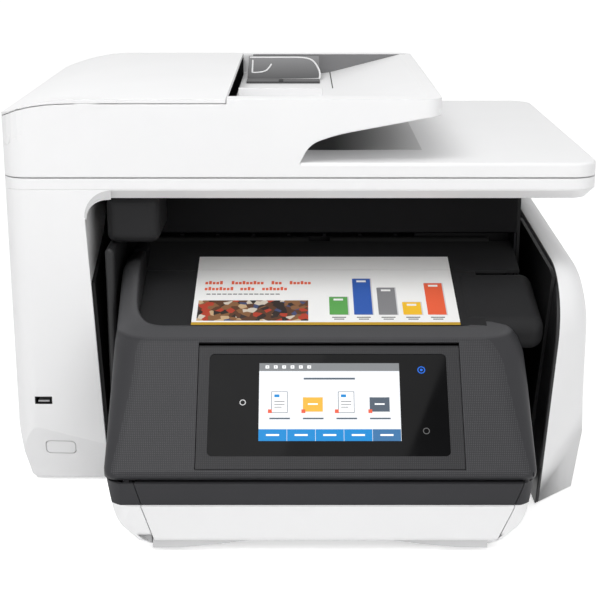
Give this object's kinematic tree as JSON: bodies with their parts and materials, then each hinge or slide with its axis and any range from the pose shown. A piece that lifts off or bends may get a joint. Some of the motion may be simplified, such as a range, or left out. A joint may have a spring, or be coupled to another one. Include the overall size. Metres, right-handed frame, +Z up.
{
  "type": "inkjet printer",
  "caption": "Desktop inkjet printer with flatbed scanner, document feeder on the lid, leaning front door with a tilting touch panel and a pull-out paper tray.",
  "frame": {"origin": "on the table under the centre of the bounding box", "axes": "+X to the right seen from the front, +Y to the rear, +Z up"},
  "size_m": [0.5, 0.53, 0.342],
  "materials": {
    "white_shell": "satin moulded white",
    "dark_shell": "fine textured charcoal",
    "black_inside": "dull black moulding",
    "steel": "plain sheet and rod",
    "rubber": "matt",
    "clear_glass": "clear polished",
    "panel_glass": "dark polished",
    "lit_display": "smooth lit panel",
    "circuit_green": "lacquered board",
    "ink_cases": "smooth moulded"
  },
  "bodies": {
    "chassis": {"base_frame": "black_inside", "carriage_belt": "rubber", "carriage_motor": "steel", "cheek_bands": "dark_shell", "cheek_skirts": "white_shell", "engine_hood": "black_inside", "engine_side_cover": "black_inside", "front_bulkhead": "black_inside", "glass_frame": "dark_shell", "guide_rods": "steel", "hinge_pins": "steel", "left_liner": "black_inside", "left_side_cover": "white_shell", "lid_hinge_brackets": "steel", "main_board": "circuit_green", "mains_inlet": "black_inside", "memory_port": "black_inside", "output_floor": "black_inside", "platen": "black_inside", "port_panel": "dark_shell", "power_supply": "black_inside", "rear_cover": "dark_shell", "rear_paper_guide": "black_inside", "rear_rail": "steel", "right_liner": "black_inside", "right_side_cover": "white_shell", "rubber_feet": "rubber", "scanner_glass": "clear_glass", "scanner_housing": "white_shell", "scanner_pan": "dark_shell", "service_station": "black_inside", "side_frames": "steel"},
    "lid": {"scanner_lid": "white_shell", "backing_pad": "white_shell"},
    "feeder_cover": {"feeder_cover": "white_shell"},
    "feeder_pick": {"feeder_pick_roller": "rubber"},
    "feeder_feed": {"feeder_feed_roller": "rubber"},
    "guide_rear": {"document_guide_rear": "white_shell"},
    "guide_front": {"document_guide_front": "white_shell"},
    "scan_bar": {"scan_bar": "black_inside"},
    "door": {"front_door": "dark_shell"},
    "panel": {"control_panel": "dark_shell", "touch_glass": "panel_glass", "display": "lit_display"},
    "tray": {"paper_tray": "black_inside", "tray_front_band": "dark_shell", "tray_front_panel": "white_shell"},
    "tray_left": {"tray_guide_left": "black_inside"},
    "tray_right": {"tray_guide_right": "black_inside"},
    "tray_stop": {"tray_length_guide": "black_inside"},
    "button": {"power_button": "dark_shell"},
    "carriage": {"carriage": "black_inside", "ink_cartridges": "ink_cases"},
    "drive_pulley": {"drive_pulley": "steel"},
    "idler_pulley": {"idler_pulley": "steel"},
    "feed_roller": {"feed_roller": "rubber"},
    "exit_roller": {"exit_roller": "rubber"},
    "pick_roller": {"pick_roller": "rubber"},
    "rear_door": {"rear_access_door": "dark_shell"}
  },
  "joints": [
    {"name": "lid_hinge", "type": "hinge", "parent": "chassis", "child": "lid", "pos_m": [0, 0.26, 0.28], "axis": [-1, 0, 0], "range_deg": [0, 75]},
    {"name": "cover_hinge", "type": "hinge", "parent": "lid", "child": "feeder_cover", "pos_m": [-0.245, 0, 0.3085], "axis": [0, -1, 0], "range_deg": [0, 75]},
    {"name": "feeder_pick_spin", "type": "hinge", "parent": "lid", "child": "feeder_pick", "pos_m": [-0.099, 0, 0.324], "axis": [0, 1, 0], "continuous": true},
    {"name": "feeder_feed_spin", "type": "hinge", "parent": "lid", "child": "feeder_feed", "pos_m": [-0.145, 0, 0.324], "axis": [0, 1, 0], "continuous": true},
    {"name": "guide_rear_slide", "type": "slide", "parent": "lid", "child": "guide_rear", "axis": [0, -1, 0], "range_m": [-0.006, 0.05]},
    {"name": "guide_front_slide", "type": "slide", "parent": "lid", "child": "guide_front", "axis": [0, 1, 0], "range_m": [-0.006, 0.05]},
    {"name": "scan_bar_slide", "type": "slide", "parent": "chassis", "child": "scan_bar", "axis": [1, 0, 0], "range_m": [0, 0.36]},
    {"name": "door_hinge", "type": "hinge", "parent": "chassis", "child": "door", "pos_m": [0, -0.25493, 0.06487], "axis": [1, 0, 0], "range_deg": [0, 48]},
    {"name": "panel_tilt", "type": "hinge", "parent": "door", "child": "panel", "pos_m": [0, -0.18257, 0.14301], "axis": [-1, 0, 0], "range_deg": [0, 25]},
    {"name": "tray_slide", "type": "slide", "parent": "chassis", "child": "tray", "axis": [0, -1, 0], "range_m": [0, 0.28]},
    {"name": "tray_guide_left_slide", "type": "slide", "parent": "tray", "child": "tray_left", "axis": [1, 0, 0], "range_m": [0, 0.05]},
    {"name": "tray_guide_right_slide", "type": "slide", "parent": "tray", "child": "tray_right", "axis": [-1, 0, 0], "range_m": [0, 0.05]},
    {"name": "tray_stop_slide", "type": "slide", "parent": "tray", "child": "tray_stop", "axis": [0, 1, 0], "range_m": [0, 0.1]},
    {"name": "button_press", "type": "slide", "parent": "chassis", "child": "button", "axis": [0, 1, 0], "range_m": [0, 0.0015], "stiffness_N_per_m": 900},
    {"name": "carriage_slide", "type": "slide", "parent": "chassis", "child": "carriage", "axis": [-1, 0, 0], "range_m": [0, 0.26]},
    {"name": "drive_pulley_spin", "type": "hinge", "parent": "chassis", "child": "drive_pulley", "pos_m": [0.182, 0, 0.226], "axis": [0, 1, 0], "continuous": true},
    {"name": "idler_pulley_spin", "type": "hinge", "parent": "chassis", "child": "idler_pulley", "pos_m": [-0.146, 0, 0.226], "axis": [0, 1, 0], "continuous": true},
    {"name": "feed_roller_spin", "type": "hinge", "parent": "chassis", "child": "feed_roller", "pos_m": [0, 0.078, 0.19], "axis": [1, 0, 0], "continuous": true},
    {"name": "exit_roller_spin", "type": "hinge", "parent": "chassis", "child": "exit_roller", "pos_m": [0, -0.005, 0.19], "axis": [1, 0, 0], "continuous": true},
    {"name": "pick_roller_spin", "type": "hinge", "parent": "chassis", "child": "pick_roller", "pos_m": [0, 0.06, 0.07], "axis": [1, 0, 0], "continuous": true},
    {"name": "rear_door_hinge", "type": "hinge", "parent": "chassis", "child": "rear_door", "pos_m": [0, 0.25425, 0.07395], "axis": [-1, 0, 0], "range_deg": [0, 70]}
  ],
  "couplings": [
    {"joint": "feeder_feed_spin", "follows": "feeder_pick_spin", "ratio": 1},
    {"joint": "guide_front_slide", "follows": "guide_rear_slide", "ratio": 1},
    {"joint": "tray_guide_right_slide", "follows": "tray_guide_left_slide", "ratio": 1},
    {"joint": "drive_pulley_spin", "follows": "carriage_slide", "rad_per_m": 125},
    {"joint": "idler_pulley_spin", "follows": "carriage_slide", "rad_per_m": 125},
    {"joint": "exit_roller_spin", "follows": "feed_roller_spin", "ratio": 1.2857}
  ]
}
